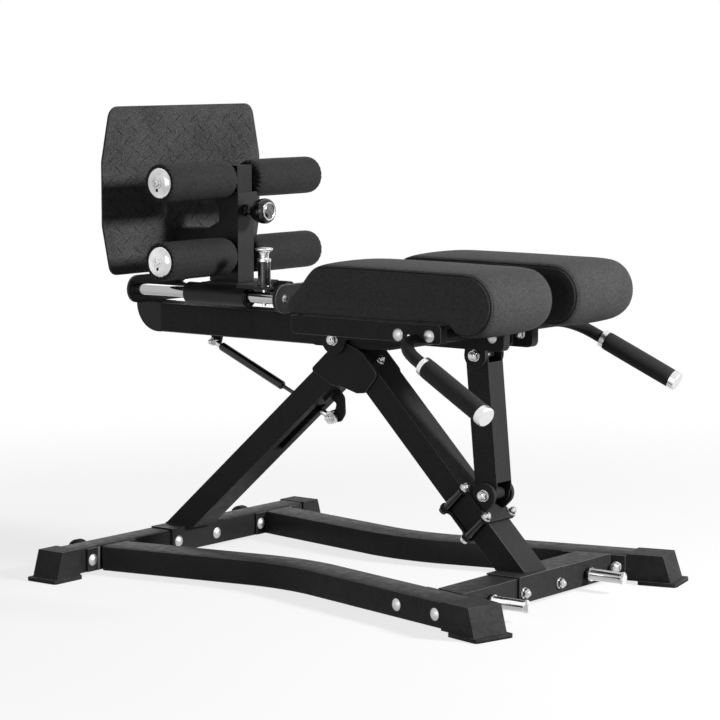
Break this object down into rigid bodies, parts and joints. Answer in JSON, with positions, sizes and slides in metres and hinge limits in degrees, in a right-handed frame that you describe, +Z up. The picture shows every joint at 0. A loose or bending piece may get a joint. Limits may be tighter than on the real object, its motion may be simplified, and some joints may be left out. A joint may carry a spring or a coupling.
{
  "type": "back extension machine",
  "caption": "Tilting back extension bench: split hip pads, sliding footplate with foam ankle rollers and bent handles on a strut frame with rubber feet.",
  "frame": {"origin": "middle of the footprint, on the floor", "axes": "+X from the footplate to the handles, +Y the far side, +Z up"},
  "size_m": [1.1287, 0.8666, 0.931],
  "materials": {
    "powder_coat": "fine-textured black powder coat",
    "chrome": "bright plated",
    "rubber": "matt black moulded",
    "vinyl": "black grained vinyl",
    "black_plastic": "satin black",
    "board": "plain plywood"
  },
  "bodies": {
    "frame": {"rear_crossbar": "powder_coat", "front_crossbar": "powder_coat", "rear_strut": "powder_coat", "front_strut": "powder_coat", "spring_hook": "powder_coat", "pivot_bolt": "chrome", "rear_foot_near": "rubber", "rear_foot_far": "rubber", "front_foot_near": "rubber", "front_foot_far": "rubber", "side_rail_near": "powder_coat", "side_rail_far": "powder_coat", "band_peg_near": "chrome", "band_peg_far": "chrome", "gusset_near": "powder_coat", "gusset_far": "powder_coat"},
    "beam": {"main_beam": "powder_coat", "beam_cap": "black_plastic", "link_pin": "chrome", "cross_member": "powder_coat", "handle_tube": "powder_coat", "rod_rear_bracket": "black_plastic", "rod_front_plate": "powder_coat", "side_plate_near": "powder_coat", "side_plate_far": "powder_coat", "centre_bar_near": "powder_coat", "centre_bar_far": "powder_coat", "wing_rail_near": "powder_coat", "wing_rail_far": "powder_coat", "grip_collar_near": "chrome", "grip_collar_far": "chrome", "grip_near": "rubber", "grip_far": "rubber", "grip_cap_near": "chrome", "grip_cap_far": "chrome", "hip_pad_near": "vinyl", "hip_pad_far": "vinyl", "pad_board_near": "board", "pad_board_far": "board", "guide_rod_near": "chrome", "guide_rod_far": "chrome"},
    "foot_section": {"foot_carriage": "powder_coat", "footplate": "powder_coat", "lower_axle": "chrome"},
    "post": {"inner_post": "powder_coat", "upper_axle": "chrome"},
    "clamp": {"clamp_front_plate": "powder_coat", "clamp_back_plate": "powder_coat", "link_axle": "chrome"},
    "link": {"link": "powder_coat"},
    "gas_cylinder": {"gas_cylinder": "black_plastic"},
    "gas_rod": {"gas_rod": "powder_coat"},
    "lower_roller_near": {"lower_roller_near": "vinyl"},
    "lower_roller_far": {"lower_roller_far": "vinyl"},
    "upper_roller_near": {"upper_roller_near": "vinyl"},
    "upper_roller_far": {"upper_roller_far": "vinyl"},
    "post_knob": {"post_knob": "black_plastic"},
    "rod_pin": {"rod_pin": "black_plastic"},
    "wheel_near": {"wheel_near": "rubber"},
    "wheel_far": {"wheel_far": "rubber"}
  },
  "joints": [
    {"name": "beam_tilt", "type": "hinge", "parent": "frame", "child": "beam", "pos_m": [-0.02585, 0, 0.477], "axis": [0, -1, 0], "range_deg": [0, 28]},
    {"name": "clamp_slide", "type": "slide", "parent": "frame", "child": "clamp", "axis": [-0.7001, 0, 0.7141], "range_m": [0, 0.2445]},
    {"name": "link_swing", "type": "hinge", "parent": "clamp", "child": "link", "pos_m": [0.32705, 0, 0.2], "axis": [0, 1, 0], "range_deg": [0, 31.3]},
    {"name": "gas_spring_swing", "type": "hinge", "parent": "beam", "child": "gas_cylinder", "pos_m": [-0.37345, 0, 0.447], "axis": [0, -1, 0], "range_deg": [0, 0.8]},
    {"name": "gas_spring_stroke", "type": "slide", "parent": "gas_cylinder", "child": "gas_rod", "axis": [0.9171, 0, -0.3986], "range_m": [-0.0825, 0]},
    {"name": "foot_slide", "type": "slide", "parent": "beam", "child": "foot_section", "axis": [1, 0, 0], "range_m": [-0.1, 0.02]},
    {"name": "post_slide", "type": "slide", "parent": "foot_section", "child": "post", "axis": [0, 0, 1], "range_m": [0, 0.06]},
    {"name": "rod_pin_pull", "type": "slide", "parent": "foot_section", "child": "rod_pin", "axis": [0, 0, 1], "range_m": [0, 0.03], "stiffness_N_per_m": 200, "springref_m": -0.02},
    {"name": "post_pin_pull", "type": "slide", "parent": "foot_section", "child": "post_knob", "axis": [1, 0, 0], "range_m": [0, 0.012], "stiffness_N_per_m": 300, "springref_m": -0.02},
    {"name": "lower_roller_near_spin", "type": "hinge", "parent": "foot_section", "child": "lower_roller_near", "pos_m": [-0.31295, -0.132, 0.628], "axis": [0, 1, 0], "continuous": true},
    {"name": "lower_roller_far_spin", "type": "hinge", "parent": "foot_section", "child": "lower_roller_far", "pos_m": [-0.31295, 0.132, 0.628], "axis": [0, 1, 0], "continuous": true},
    {"name": "upper_roller_near_spin", "type": "hinge", "parent": "post", "child": "upper_roller_near", "pos_m": [-0.31295, -0.132, 0.783], "axis": [0, 1, 0], "continuous": true},
    {"name": "upper_roller_far_spin", "type": "hinge", "parent": "post", "child": "upper_roller_far", "pos_m": [-0.31295, 0.132, 0.783], "axis": [0, 1, 0], "continuous": true},
    {"name": "wheel_near_spin", "type": "hinge", "parent": "frame", "child": "wheel_near", "pos_m": [-0.51945, -0.2564, 0.03], "axis": [0, 1, 0], "continuous": true},
    {"name": "wheel_far_spin", "type": "hinge", "parent": "frame", "child": "wheel_far", "pos_m": [-0.51945, 0.2564, 0.03], "axis": [0, 1, 0], "continuous": true}
  ],
  "couplings": [
    {"joint": "clamp_slide", "follows": "beam_tilt", "m_per_rad": 0.49847},
    {"joint": "link_swing", "follows": "beam_tilt", "ratio": 1.11},
    {"joint": "gas_spring_swing", "follows": "beam_tilt", "ratio": 0.026},
    {"joint": "gas_spring_stroke", "follows": "beam_tilt", "m_per_rad": -0.16587}
  ]
}
